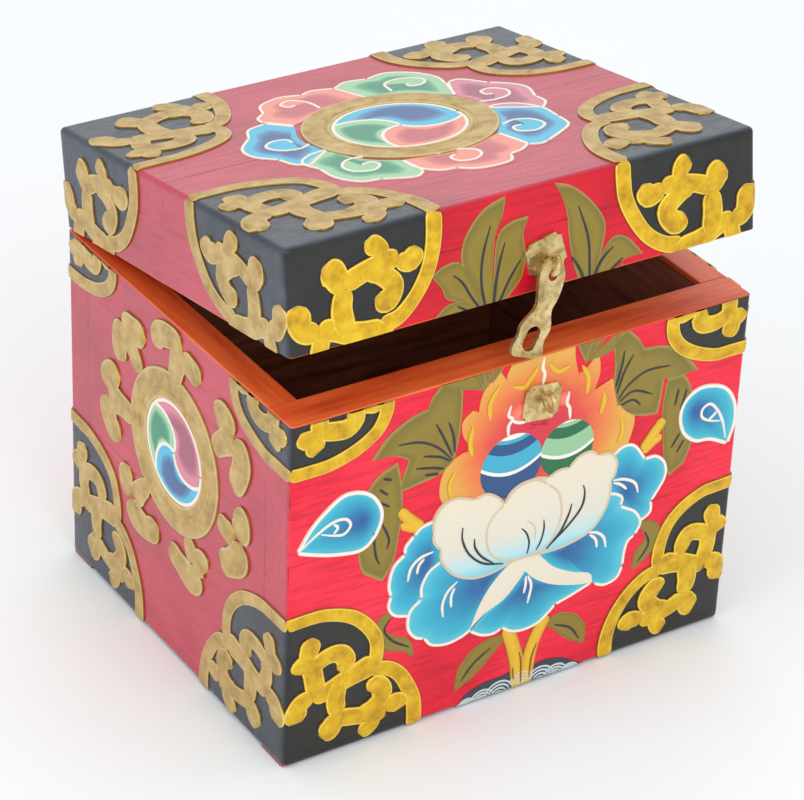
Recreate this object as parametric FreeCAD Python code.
"""A painted wooden jack in the box: a hinged box of butted boards with a deep lid, held shut by a
brass hasp on split-pin eyes, and a sprung figure that stands on the floor inside.

Frame: millimetres, +Z up, the front (hasp) side faces -Y, and the origin is the middle of the
underside. The lid is drawn shut, then turned open about its hinge pins to the rest pose.
"""
import FreeCAD, Part
import math
import os

V = FreeCAD.Vector

# ---------------------------------------------------------------- driving dimensions
box_width = 150.0
box_depth = 125.0
body_height = 110.0
lid_height = 30.0
end_board_t = 12.0        # front and back boards, which run the full width
side_board_t = 9.0        # side boards, butted between front and back
floor_t = 8.0
lid_top_t = 12.0
plank_seam_y = 2.0        # where the two lid planks meet, from the middle
lid_gap = 0.2             # paint film between the shut lid and the rim
lid_ajar_deg = 8.8        # rest pose: how far the lid stands open
overcut = 1.0             # how far a cutter runs past the face it starts from
corner_round = 1.5
rim_round = 0.5

# hinges
hinge_x = 42.0            # centre of each hinge, either side of the middle
hinge_len = 25.0
hinge_leaf_w = 9.0        # how far a leaf reaches in from the back face
hinge_leaf_t = 1.0
knuckle_r = 1.9
hinge_pin_r = 0.8
pin_clear = 0.05
pin_head_r = 1.4
pin_head_t = 0.6
knuckle_gap = 0.15        # along the pin, between knuckles
barrel_clear = 0.2        # knuckle to the back face
leaf_clear = 0.1          # leaf to the sides of its recess
screw_r = 0.7
screw_head_r = 1.4
screw_head_t = 0.6
screw_len = 7.0
screw_pitch = 15.0        # between the two screws of a leaf

# nails in the boards
nail_r = 0.8
nail_len = 26.0
nail_set = 0.8            # depth of the filler over each nail head
nail_edge = 16.0          # first and last nail, from the ends of a joint
lid_nail_edge = 4.5       # the same in the low walls of the lid

# hasp and its two eyes
hasp_x = 4.3
eye_up_z = 8.0            # upper eye, above the lid's lower edge
eye_low_drop = 12.7       # lower eye, below the body's rim
eye_plate_w = 12.0
eye_plate_t = 1.0
eye_plate_notch_r = 1.5
upper_plate_h = 10.0
upper_plate_shift = (0.4, 1.8)    # plate centre from the eye, right and up
upper_plate_turn_deg = -13.0
lower_plate_h = 11.0
lower_plate_shift = (0.0, -1.8)
lower_plate_turn_deg = 6.0
eye_ring_r = 2.4          # ring centre to wire centre
eye_wire_r = 0.8
eye_shank_r = 1.1
eye_hole_clear = 0.08
eye_stand_off = 0.1       # ring to plate
leg_r = 0.7
leg_len = 8.0
leg_clear = 0.15
strap_t = 1.2
strap_lean_deg = 20.0     # rest pose: how far the strap leans from upright
strap_crease = 9.6        # from the pivot down to the bend across the strap
strap_crease_out = 0.8    # the bend stands this far out from the pivot
strap_toe_in = 2.1        # and the strap comes back in this far behind the pivot
strap_slot_w = 4.4
strap_slot_len = 7.4
strap_bar = 1.0           # half width of the bar that passes through the eye
strap_eyelet_w = 2.9
strap_eyelet_len = 3.2
strap_tip_past_slot = 1.7
strap_tip_lift = 0.5      # the tip is turned up for a fingernail

# the jack
jack_base_r = 24.0
jack_base_t = 5.0
spring_r = 11.0
spring_wire_r = 0.6
spring_rest_len = 20.0    # between the base and the plunger at the rest pose
spring_turns = 8.0
spring_seat = 0.05
staple_wire_r = 0.35
staple_leg = 3.0
staple_clear = 0.08
sleeve_in_r = 15.5
sleeve_out_r = 20.0
sleeve_clear = 0.3
plunger_r = 21.0
plunger_t = 4.0
ruff_clear = 0.3          # ruff to the head
ruff_out_r = 22.0
ruff_t = 2.2
head_r = 14.0
head_clear = 0.5          # the head's lowest point, above the plunger
neck_r = 5.0
tenon_r = 3.5
tenon_len = 3.0
nose_r = 2.2
nose_stand = 1.0          # nose centre, outside the head's surface
nose_drop = 1.5           # and below the head's centre
cap_t = 1.3
cap_clear = 0.15
cap_brow = 5.0            # the cap's edge above the head's centre, over the face
cap_slope = 0.45          # how steeply the edge drops towards the back
horn_r = (5.6, 4.6, 3.0, 1.7)
horn_way = ((0.50, 0.11, 0.61), (1.07, 0.14, 0.70), (1.50, 0.18, 0.39), (1.71, 0.21, -0.11))
bell_r = 2.6              # horn_way is from the head's centre, in head radii
bell_out = 0.6            # bell centre, outside the horn's tip
base_screw_x = 6.0
base_screw_r = 1.1
base_screw_head_r = 2.2
base_screw_len = 10.0

# ---------------------------------------------------------------- derived places
half_w = box_width / 2
half_d = box_depth / 2
inner_half_w = half_w - side_board_t
inner_half_d = half_d - end_board_t
lid_z = body_height + lid_gap
lid_wall_top = lid_z + lid_height - lid_top_t
hinge_y = half_d + barrel_clear + knuckle_r
hinge_z = body_height + lid_gap / 2
HINGE = V(0, hinge_y, hinge_z)
OPENING_AXIS = V(-1, 0, 0)
eye_reach = eye_plate_t + eye_stand_off + eye_wire_r + eye_ring_r
UPPER_EYE = V(hasp_x, -half_d, lid_z + eye_up_z)
LOWER_EYE = V(hasp_x, -half_d, body_height - eye_low_drop)
slot_down = UPPER_EYE.z - LOWER_EYE.z
base_top = floor_t + jack_base_t
plunger_z = base_top + spring_rest_len
plunger_top = plunger_z + plunger_t
head_lift = head_r + head_clear
head_z = plunger_top + head_lift
ruff_in_r = math.sqrt(head_r ** 2 - (head_lift - ruff_t) ** 2) + ruff_clear

os.makedirs("parts", exist_ok=True)


# ---------------------------------------------------------------- small helpers
def block(x0, x1, y0, y1, z0, z1):
    return Part.makeBox(x1 - x0, y1 - y0, z1 - z0, V(x0, y0, z0))


def rod(start, direction, radius, length):
    return Part.makeCylinder(radius, length, start, direction)


def turn(shape, centre, axis, degrees):
    copy = shape.copy()
    copy.rotate(centre, axis, degrees)
    return copy


def ajar(shape):
    """From the shut lid to the rest pose."""
    return turn(shape, HINGE, OPENING_AXIS, lid_ajar_deg)


def round_edges(shape, radius, wanted):
    """Fillets the straight edges whose middle point satisfies the test."""
    edges = [e for e in shape.Edges if wanted(e.CenterOfMass)]
    return shape.makeFillet(radius, edges) if edges else shape


def near(a, b):
    return abs(a - b) < 1e-3


def save(name, *solids):
    shape = solids[0] if len(solids) == 1 else Part.makeCompound(list(solids))
    shape.exportStep(os.path.join("parts", name + ".step"))
    print(name, len(shape.Solids), round(shape.Volume, 1), shape.isValid())


# ---------------------------------------------------------------- fasteners
def nail(point, direction):
    return rod(point, direction, nail_r, nail_len)


def spread(low, high, count):
    """Evenly spaced places from low to high."""
    return [low + (high - low) * i / (count - 1) for i in range(count)]


def corner_nails(z_low, z_high, count):
    """Nails through the front and back boards into the ends of the side boards."""
    made = []
    for side in (-1, 1):
        for z in spread(z_low, z_high, count):
            x = side * (half_w - side_board_t / 2)
            made.append(nail(V(x, -half_d + nail_set, z), V(0, 1, 0)))
            made.append(nail(V(x, half_d - nail_set, z), V(0, -1, 0)))
    return made


def plank_nails():
    """Nails down through the lid planks into the lid's front and back boards."""
    top = lid_z + lid_height - nail_set
    made = []
    for x in spread(-half_w + nail_edge, half_w - nail_edge, 4):
        for side in (-1, 1):
            made.append(nail(V(x, side * (half_d - end_board_t / 2), top), V(0, 0, -1)))
    return made


def floor_nails():
    """Nails in through the side boards into the floor."""
    made = []
    for y in spread(-inner_half_d + nail_edge, inner_half_d - nail_edge, 3):
        for side in (-1, 1):
            start = V(side * (half_w - nail_set), y, floor_t / 2)
            made.append(nail(start, V(-side, 0, 0)))
    return made


def countersunk(point, direction, radius, head_r, head_t, length):
    """A screw with its flat head at the point, reaching along the direction."""
    head = Part.makeCone(head_r, radius, head_t, point, direction)
    return head.fuse(rod(point, direction, radius, length)).removeSplitter()


# ---------------------------------------------------------------- hinges
def hinge_screw_places(side):
    """x of each screw in one hinge."""
    return [side * hinge_x - screw_pitch / 2, side * hinge_x + screw_pitch / 2]


def hinge_screws(upward):
    y = half_d - end_board_t / 2
    z = lid_z if upward else body_height
    way = V(0, 0, 1) if upward else V(0, 0, -1)
    return [countersunk(V(x, y, z), way, screw_r, screw_head_r, screw_head_t, screw_len)
            for side in (-1, 1) for x in hinge_screw_places(side)]


def leaf_recess(side, lower, clearance=0.0):
    """The space a leaf takes in the board's edge."""
    z0, z1 = (body_height - hinge_leaf_t, body_height) if lower else (lid_z, lid_z + hinge_leaf_t)
    x0, x1 = side * hinge_x - hinge_len / 2, side * hinge_x + hinge_len / 2
    return block(x0 - clearance, x1 + clearance, half_d - hinge_leaf_w - clearance, hinge_y, z0, z1)


def hinge_leaf(side, lower):
    """A leaf with its knuckles: two outer knuckles on the lower leaf, the middle one on the upper."""
    third = hinge_len / 3
    start = side * hinge_x - hinge_len / 2
    middle = (start + third + knuckle_gap, start + 2 * third - knuckle_gap)
    spans = [(start, start + third), (start + 2 * third, start + hinge_len)] if lower else [middle]
    plate = leaf_recess(side, lower)
    others = [middle] if lower else [(start, start + third), (start + 2 * third, start + hinge_len)]
    for x0, x1 in others:
        around = knuckle_r + barrel_clear
        room = rod(V(x0 - knuckle_gap, hinge_y, hinge_z), V(1, 0, 0), around, x1 - x0 + 2 * knuckle_gap)
        plate = plate.cut(room)
        plate = plate.cut(block(x0 - knuckle_gap, x1 + knuckle_gap, half_d, hinge_y + around,
                                hinge_z - around, hinge_z + around))
    for x0, x1 in spans:
        plate = plate.fuse(rod(V(x0, hinge_y, hinge_z), V(1, 0, 0), knuckle_r, x1 - x0))
    bore = rod(V(start - overcut, hinge_y, hinge_z), V(1, 0, 0), hinge_pin_r + pin_clear,
               hinge_len + 2 * overcut)
    plate = plate.cut(bore)
    for screw in hinge_screws(not lower):
        plate = plate.cut(screw)
    return plate.removeSplitter()


def hinge_pin(side):
    """The pin, with a peened head at each end."""
    start = V(side * hinge_x - hinge_len / 2 - pin_head_t, hinge_y, hinge_z)
    pin = rod(start, V(1, 0, 0), hinge_pin_r, hinge_len + 2 * pin_head_t)
    for x in (start.x - knuckle_gap, start.x + hinge_len + pin_head_t + knuckle_gap):
        pin = pin.fuse(rod(V(x, hinge_y, hinge_z), V(1, 0, 0), pin_head_r, pin_head_t))
    ends = rod(V(start.x - knuckle_gap, hinge_y, hinge_z), V(1, 0, 0), hinge_pin_r,
               hinge_len + 2 * pin_head_t + 2 * knuckle_gap)
    return pin.fuse(ends).removeSplitter()


# ---------------------------------------------------------------- hasp
def eye_plate(eye, height, shift, degrees):
    """A plate with its corners nipped, hung on the eye's shank a little off its middle."""
    x, z = eye.x + shift[0], eye.z + shift[1]
    plate = block(x - eye_plate_w / 2, x + eye_plate_w / 2, eye.y - eye_plate_t, eye.y,
                  z - height / 2, z + height / 2)
    for sx in (-1, 1):
        for sz in (-1, 1):
            corner = V(x + sx * eye_plate_w / 2, eye.y - 2 * eye_plate_t, z + sz * height / 2)
            plate = plate.cut(rod(corner, V(0, 1, 0), eye_plate_notch_r, 4 * eye_plate_t))
    hole = rod(V(eye.x, eye.y - 2 * eye_plate_t, eye.z), V(0, 1, 0),
               eye_shank_r + eye_hole_clear, 4 * eye_plate_t)
    return turn(plate, eye, V(0, 1, 0), degrees).cut(hole)


def eye_hole(eye):
    """The hole for an eye's shank through the board."""
    return rod(V(eye.x, eye.y - overcut, eye.z), V(0, 1, 0), eye_shank_r + eye_hole_clear,
               end_board_t + 2 * overcut)


def split_pin_eye(eye, degrees):
    """A split pin: a ring outside, a shank through the board, and two legs bent flat inside."""
    centre = V(eye.x, eye.y - eye_reach, eye.z)
    pin = Part.makeTorus(eye_ring_r, eye_wire_r, centre, V(1, 0, 0))
    leg_y = eye.y + end_board_t + leg_clear + leg_r
    shank_start = centre + V(0, eye_ring_r, 0)
    pin = pin.fuse(rod(shank_start, V(0, 1, 0), eye_shank_r, leg_y - shank_start.y))
    for side in (-1, 1):
        pin = pin.fuse(rod(V(eye.x, leg_y, eye.z), V(side, 0, 0), leg_r, leg_len - leg_r))
        pin = pin.fuse(Part.makeSphere(leg_r, V(eye.x + side * (leg_len - leg_r), leg_y, eye.z)))
    return turn(pin, eye, V(0, 1, 0), degrees)


def slot(down, width, length):
    """A cutter for a slot with round ends, along the strap, its middle this far down."""
    radius = width / 2
    half = length / 2 - radius
    deep = 2 * eye_reach
    cutter = block(-radius, radius, -deep / 2, deep / 2, -down - half, -down + half)
    for end in (-1, 1):
        cutter = cutter.fuse(rod(V(0, -deep / 2, end * half - down), V(0, 1, 0), radius, deep))
    return cutter


def strap_outline(tip):
    """The strap seen from the front, hanging from the pivot: half widths at distances down."""
    pad = slot_down - strap_slot_len / 2
    half = [(1.7, -1.25), (3.3, 0.2), (4.1, 2.8), (4.0, 5.2), (3.1, strap_crease),
            (2.7, strap_crease + 1.8), (4.2, pad - 1.6), (4.9, pad + 1.2), (4.5, slot_down),
            (5.2, slot_down + 3.0), (5.1, tip - 0.9), (3.6, tip)]
    right = Part.BSplineCurve()
    right.interpolate([V(w, 0, -s) for w, s in half])
    left = Part.BSplineCurve()
    left.interpolate([V(-w, 0, -s) for w, s in reversed(half)])
    top = Part.LineSegment(V(-half[0][0], 0, -half[0][1]), V(half[0][0], 0, -half[0][1]))
    foot = Part.LineSegment(V(half[-1][0], 0, -tip), V(-half[-1][0], 0, -tip))
    face = Part.Face(Part.Wire([e.toShape() for e in (right, foot, left, top)]))
    deep = 2 * eye_reach
    return face.extrude(V(0, deep, 0)).translated(V(0, -deep / 2, 0))


def hasp_strap():
    """A stamped strap: an eyelet hung in the upper eye, a crease, and a slot for the lower eye."""
    tip = slot_down + strap_slot_len / 2 + strap_tip_past_slot
    toe = tip - 2 * strap_tip_past_slot
    line = [(-2 * strap_bar, 0.0), (strap_crease, -strap_crease_out), (toe, strap_toe_in),
            (tip + strap_t, strap_toe_in - strap_tip_lift)]
    wide = 4 * strap_slot_w
    sheet = None
    for (s0, y0), (s1, y1) in zip(line, line[1:]):
        run = V(0, y1 - y0, s0 - s1)
        across = V(0, run.z, -run.y).normalize() * (strap_t / 2)
        a, b = V(-wide / 2, y0, -s0), V(-wide / 2, y1, -s1)
        loop = Part.makePolygon([a + across, b + across, b - across, a - across, a + across])
        plate = Part.Face(loop).extrude(V(wide, 0, 0))
        bend = rod(V(-wide / 2, y1, -s1), V(1, 0, 0), strap_t / 2, wide)
        sheet = plate.fuse(bend) if sheet is None else sheet.fuse(plate).fuse(bend)
    strap = sheet.common(strap_outline(tip))
    strap = strap.cut(slot(strap_bar + strap_eyelet_len / 2, strap_eyelet_w, strap_eyelet_len))
    strap = strap.cut(slot(slot_down, strap_slot_w, strap_slot_len))
    strap.translate(V(UPPER_EYE.x, UPPER_EYE.y - eye_reach, UPPER_EYE.z))
    return turn(strap, UPPER_EYE, V(0, 1, 0), strap_lean_deg).removeSplitter()


# ---------------------------------------------------------------- box body
def with_holes(board, *groups):
    for group in groups:
        for hole in group:
            board = board.cut(hole)
    return board


body_nails = corner_nails(nail_edge, body_height - nail_edge, 3)
underside_nails = floor_nails()
lower_hinge_screws = hinge_screws(False)
upper_hinge_screws = hinge_screws(True)


def body_end_board(front):
    """The front or back board: corners and foot rounded, then recesses and holes."""
    y0, y1 = (-half_d, -inner_half_d) if front else (inner_half_d, half_d)
    face = -half_d if front else half_d
    board = block(-half_w, half_w, y0, y1, 0, body_height)
    board = round_edges(board, corner_round, lambda c: near(c.y, face) and c.z < body_height - 1)
    board = round_edges(board, rim_round, lambda c: near(c.z, body_height) and abs(c.x) < 1)
    if front:
        return with_holes(board, body_nails, [eye_hole(LOWER_EYE)])
    recesses = [leaf_recess(side, True, leaf_clear) for side in (-1, 1)]
    return with_holes(board, body_nails, recesses, lower_hinge_screws)


def body_side_board(side):
    x0, x1 = sorted((side * half_w, side * inner_half_w))
    board = block(x0, x1, -inner_half_d, inner_half_d, 0, body_height)
    board = round_edges(board, corner_round, lambda c: near(c.x, side * half_w) and near(c.z, 0))
    board = round_edges(board, rim_round, lambda c: near(c.z, body_height) and abs(c.y) < 1)
    return with_holes(board, body_nails, underside_nails)


save("body_front_board", body_end_board(True))
save("body_back_board", body_end_board(False))
save("body_left_board", body_side_board(-1))
save("body_right_board", body_side_board(1))
base_screws = [countersunk(V(side * base_screw_x, 0, base_top), V(0, 0, -1), base_screw_r,
                           base_screw_head_r, base_screw_head_r - base_screw_r, base_screw_len)
               for side in (-1, 1)]
floor = block(-inner_half_w, inner_half_w, -inner_half_d, inner_half_d, 0, floor_t)
save("body_floor_board", with_holes(floor, underside_nails, base_screws))
save("body_corner_nails", *body_nails)
save("floor_nails", *underside_nails)

# ---------------------------------------------------------------- lid
lid_nails = plank_nails()
lid_corner_nails = corner_nails(lid_z + lid_nail_edge, lid_wall_top - lid_nail_edge, 2)


def lid_end_board(front):
    y0, y1 = (-half_d, -inner_half_d) if front else (inner_half_d, half_d)
    face = -half_d if front else half_d
    board = block(-half_w, half_w, y0, y1, lid_z, lid_wall_top)
    board = round_edges(board, corner_round,
                        lambda c: near(c.y, face) and near(abs(c.x), half_w))
    board = round_edges(board, rim_round, lambda c: near(c.z, lid_z) and abs(c.x) < 1)
    if front:
        return with_holes(board, lid_nails, lid_corner_nails, [eye_hole(UPPER_EYE)])
    recesses = [leaf_recess(side, False, leaf_clear) for side in (-1, 1)]
    return with_holes(board, lid_nails, lid_corner_nails, recesses, upper_hinge_screws)


def lid_side_board(side):
    x0, x1 = sorted((side * half_w, side * inner_half_w))
    board = block(x0, x1, -inner_half_d, inner_half_d, lid_z, lid_wall_top)
    board = round_edges(board, rim_round, lambda c: near(c.z, lid_z) and abs(c.y) < 1)
    return with_holes(board, lid_corner_nails)


def lid_plank(front):
    y0, y1 = (-half_d, plank_seam_y) if front else (plank_seam_y, half_d)
    face = -half_d if front else half_d
    top = lid_z + lid_height
    plank = block(-half_w, half_w, y0, y1, lid_wall_top, top)

    def outer(c):
        on_top = near(c.z, top) and not near(c.y, plank_seam_y)
        corner = near(abs(c.x), half_w) and near(c.y, face)
        return on_top or corner
    return with_holes(round_edges(plank, corner_round, outer), lid_nails)


save("lid_front_board", ajar(lid_end_board(True)))
save("lid_back_board", ajar(lid_end_board(False)))
save("lid_left_board", ajar(lid_side_board(-1)))
save("lid_right_board", ajar(lid_side_board(1)))
save("lid_front_plank", ajar(lid_plank(True)))
save("lid_back_plank", ajar(lid_plank(False)))
save("lid_plank_nails", *[ajar(n) for n in lid_nails])
save("lid_corner_nails", *[ajar(n) for n in lid_corner_nails])

# ---------------------------------------------------------------- hinges and hasp
for side, word in ((-1, "left"), (1, "right")):
    save(f"hinge_{word}_body_leaf", hinge_leaf(side, True))
    save(f"hinge_{word}_lid_leaf", ajar(hinge_leaf(side, False)))
    save(f"hinge_{word}_pin", hinge_pin(side))
save("hinge_body_screws", *lower_hinge_screws)
save("hinge_lid_screws", *[ajar(s) for s in upper_hinge_screws])
save("staple_plate", eye_plate(LOWER_EYE, lower_plate_h, lower_plate_shift, lower_plate_turn_deg))
save("staple_eye", split_pin_eye(LOWER_EYE, 0.0))
save("hasp_plate", ajar(eye_plate(UPPER_EYE, upper_plate_h, upper_plate_shift,
                              upper_plate_turn_deg)))
save("hasp_eye", ajar(split_pin_eye(UPPER_EYE, strap_lean_deg)))
save("hasp_strap", ajar(hasp_strap()))

# ---------------------------------------------------------------- the jack
base = rod(V(0, 0, floor_t), V(0, 0, 1), jack_base_r, jack_base_t)


def coil_z(turns):
    """Height of the spring wire's centre after some turns from its lower end."""
    low = base_top + spring_seat + spring_wire_r
    high = plunger_z - spring_seat - spring_wire_r
    return low + (high - low) * turns / spring_turns


def spring():
    height = coil_z(spring_turns) - coil_z(0)
    path = Part.makeHelix(height / spring_turns, height, spring_r)
    ring = Part.Wire(Part.makeCircle(spring_wire_r, V(spring_r, 0, 0), V(0, 1, 0)))
    coil = Part.Wire(path).makePipeShell([ring], True, True)
    return coil.translated(V(0, 0, coil_z(0)))


def staple(degrees):
    """A wire staple driven over the spring's first turn."""
    z = coil_z(degrees / 360)
    reach = spring_wire_r + staple_clear + staple_wire_r
    crown_z = z + reach
    foot = base_top - staple_leg
    made = None
    for r in (spring_r - reach, spring_r + reach):
        leg = rod(V(r, 0, foot), V(0, 0, 1), staple_wire_r, crown_z - foot)
        leg = leg.fuse(Part.makeSphere(staple_wire_r, V(r, 0, crown_z)))
        made = leg if made is None else made.fuse(leg)
    made = made.fuse(rod(V(spring_r - reach, 0, crown_z), V(1, 0, 0), staple_wire_r, 2 * reach))
    return turn(made, V(0, 0, 0), V(0, 0, 1), degrees)


def cone_between(a, b, ra, rb):
    """A taper from one point to another, with a ball at its far end."""
    return Part.makeCone(ra, rb, (b - a).Length, a, b - a).fuse(Part.makeSphere(rb, b))


def horn_points(side):
    """The middle line of one horn, from the crown to the tip."""
    return [V(side * x * head_r, y * head_r, head_z + z * head_r) for x, y, z in horn_way]


def cap():
    """A felt cap with two drooping horns, open over the face."""
    centre = V(0, 0, head_z)
    inner = head_r + cap_clear
    shell = Part.makeSphere(inner + cap_t, centre)
    size = 4 * head_r
    below = block(-size, size, -size, size, -size, 0)
    below.rotate(V(0, 0, 0), V(1, 0, 0), -math.degrees(math.atan(cap_slope)))
    below.translate(centre + V(0, 0, cap_brow - cap_slope * head_r))
    shell = shell.cut(below)
    for side in (-1, 1):
        way = horn_points(side)
        shell = shell.fuse(Part.makeSphere(horn_r[0], way[0]))
        for a, b, ra, rb in zip(way, way[1:], horn_r, horn_r[1:]):
            shell = shell.fuse(cone_between(a, b, ra, rb))
    return shell.cut(Part.makeSphere(inner, centre))


staples = [staple(a) for a in (35, 155, 275)]
save("jack_base", with_holes(base, base_screws, staples))
save("jack_base_screws", *base_screws)
save("spring_staples", *staples)
save("jack_spring", spring())
sleeve_z = base_top + sleeve_clear
sleeve = rod(V(0, 0, sleeve_z), V(0, 0, 1), sleeve_out_r, spring_rest_len - 2 * sleeve_clear)
sleeve_room = rod(V(0, 0, sleeve_z - overcut), V(0, 0, 1), sleeve_in_r, spring_rest_len + overcut)
save("jack_sleeve", sleeve.cut(sleeve_room))
plunger = rod(V(0, 0, plunger_z), V(0, 0, 1), plunger_r, plunger_t)
tenon = rod(V(0, 0, plunger_top - tenon_len), V(0, 0, 1), tenon_r, tenon_len)
save("jack_plunger", plunger.cut(tenon))
ruff = rod(V(0, 0, plunger_top), V(0, 0, 1), ruff_out_r, ruff_t)
save("jack_ruff", ruff.cut(rod(V(0, 0, plunger_top), V(0, 0, 1), ruff_in_r, ruff_t)))
nose_at = V(0, -head_r - nose_stand, head_z - nose_drop)
nose = Part.makeSphere(nose_r, nose_at)
head = Part.makeSphere(head_r, V(0, 0, head_z)).fuse(
    rod(V(0, 0, plunger_top), V(0, 0, 1), neck_r, head_lift - head_r / 2))
save("jack_head", head.fuse(tenon).cut(nose).removeSplitter())
save("jack_nose", nose)
save("jack_cap", cap())
bells = [Part.makeSphere(bell_r, horn_points(side)[-1] + V(side * bell_out, 0, -horn_r[-1] - bell_r))
         for side in (-1, 1)]
save("jack_bells", *bells)
